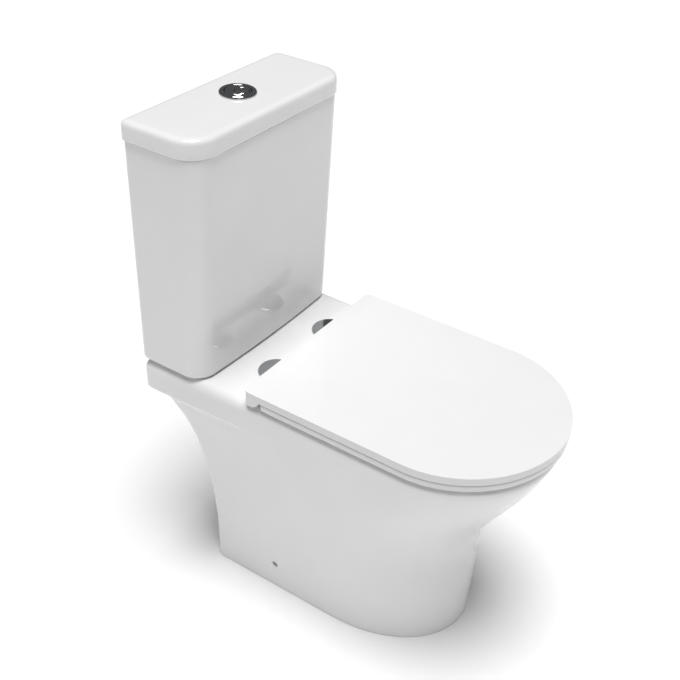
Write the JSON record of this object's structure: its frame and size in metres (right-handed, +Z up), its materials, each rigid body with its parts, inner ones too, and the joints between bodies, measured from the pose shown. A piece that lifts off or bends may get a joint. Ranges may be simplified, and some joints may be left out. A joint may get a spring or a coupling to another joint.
{
  "type": "close coupled toilet",
  "caption": "Close coupled toilet: glazed pan and cistern with a dual flush button, flush and fill valves, and a hinged soft close seat and lid.",
  "frame": {"origin": "centre of the footprint on the floor: halfway across, halfway between the wall face of the cistern and the front edge of the seat lid", "axes": "+Z up from the floor, -Y towards the front, +X to the object's left as the user sits on it"},
  "size_m": [0.3684, 0.664, 0.8443],
  "materials": {
    "glaze": "smooth white glaze, high gloss",
    "seat_plastic": "white moulded duroplast, gloss",
    "chrome": "polished chrome plate",
    "grey_plastic": "grey acetal, satin",
    "white_plastic": "white acetal, satin",
    "blue_plastic": "blue acetal, satin",
    "rubber": "black rubber, matt",
    "buffer_rubber": "white rubber, matt",
    "brass": "turned brass",
    "steel": "zinc plated steel"
  },
  "bodies": {
    "root": {"pan": "glaze", "cistern": "glaze", "cistern_lid": "glaze", "button_bezel": "chrome", "hinge_rosette_left": "chrome", "hinge_rosette_right": "chrome", "flush_valve_base": "grey_plastic", "flush_valve_back_nut": "grey_plastic", "button_back_nut": "white_plastic", "flush_valve_tower": "white_plastic", "fill_valve_riser": "white_plastic", "fill_valve_back_nut": "white_plastic", "coupling_wing_nut_left": "white_plastic", "coupling_wing_nut_right": "white_plastic", "hinge_nut_left": "white_plastic", "hinge_nut_right": "white_plastic", "floor_bracket_left": "white_plastic", "floor_bracket_right": "white_plastic", "fill_valve_head": "blue_plastic", "doughnut_washer": "rubber", "fill_valve_washer": "rubber", "coupling_washer_left": "rubber", "coupling_washer_right": "rubber", "hinge_sleeve_left": "rubber", "hinge_sleeve_right": "rubber", "coupling_bolt_left": "brass", "coupling_bolt_right": "brass", "hinge_post_left": "steel", "hinge_post_right": "steel", "hinge_pin_left": "steel", "hinge_pin_right": "steel", "hinge_stud_left": "steel", "hinge_stud_right": "steel", "side_screw_left": "steel", "side_screw_right": "steel"},
    "seat": {"seat_ring": "seat_plastic", "seat_buffer_1": "buffer_rubber", "seat_buffer_2": "buffer_rubber", "seat_buffer_3": "buffer_rubber", "seat_buffer_4": "buffer_rubber"},
    "lid": {"seat_lid": "seat_plastic", "lid_buffer_1": "buffer_rubber", "lid_buffer_2": "buffer_rubber", "lid_buffer_3": "buffer_rubber", "lid_buffer_4": "buffer_rubber", "soft_close_damper_left": "grey_plastic", "soft_close_damper_right": "grey_plastic"},
    "full_button": {"full_flush_button": "chrome", "full_push_rod": "blue_plastic"},
    "half_button": {"half_flush_button": "chrome", "half_push_rod": "blue_plastic"},
    "flush_core": {"overflow_tube": "blue_plastic", "flush_seal": "rubber"},
    "float": {"float_cup": "grey_plastic", "float_rod": "steel"},
    "lever": {"fill_lever": "grey_plastic"}
  },
  "joints": [
    {"name": "seat_hinge", "type": "hinge", "parent": "root", "child": "seat", "pos_m": [0, 0.1108, 0.447], "axis": [-1, 0, 0], "range_deg": [0, 96]},
    {"name": "lid_hinge", "type": "hinge", "parent": "seat", "child": "lid", "pos_m": [0, 0.1108, 0.447], "axis": [1, 0, 0], "range_deg": [-98, 0]},
    {"name": "full_flush_press", "type": "slide", "parent": "root", "child": "full_button", "axis": [0, 0, -1], "range_m": [0, 0.005], "stiffness_N_per_m": 600, "springref_m": -0.003},
    {"name": "half_flush_press", "type": "slide", "parent": "root", "child": "half_button", "axis": [0, 0, -1], "range_m": [0, 0.005], "stiffness_N_per_m": 400, "springref_m": -0.003},
    {"name": "flush_core_lift", "type": "slide", "parent": "root", "child": "flush_core", "axis": [0, 0, 1], "range_m": [0, 0.01]},
    {"name": "float_drop", "type": "slide", "parent": "root", "child": "float", "axis": [0, 0, 1], "range_m": [-0.014, 0]},
    {"name": "fill_lever_pivot", "type": "hinge", "parent": "root", "child": "lever", "pos_m": [-0.13, 0.268, 0.739], "axis": [0, -1, 0], "range_deg": [-21.2, 0]}
  ],
  "couplings": [
    {"joint": "flush_core_lift", "follows": "full_flush_press", "ratio": 2},
    {"joint": "fill_lever_pivot", "follows": "float_drop", "rad_per_m": 26.316}
  ]
}
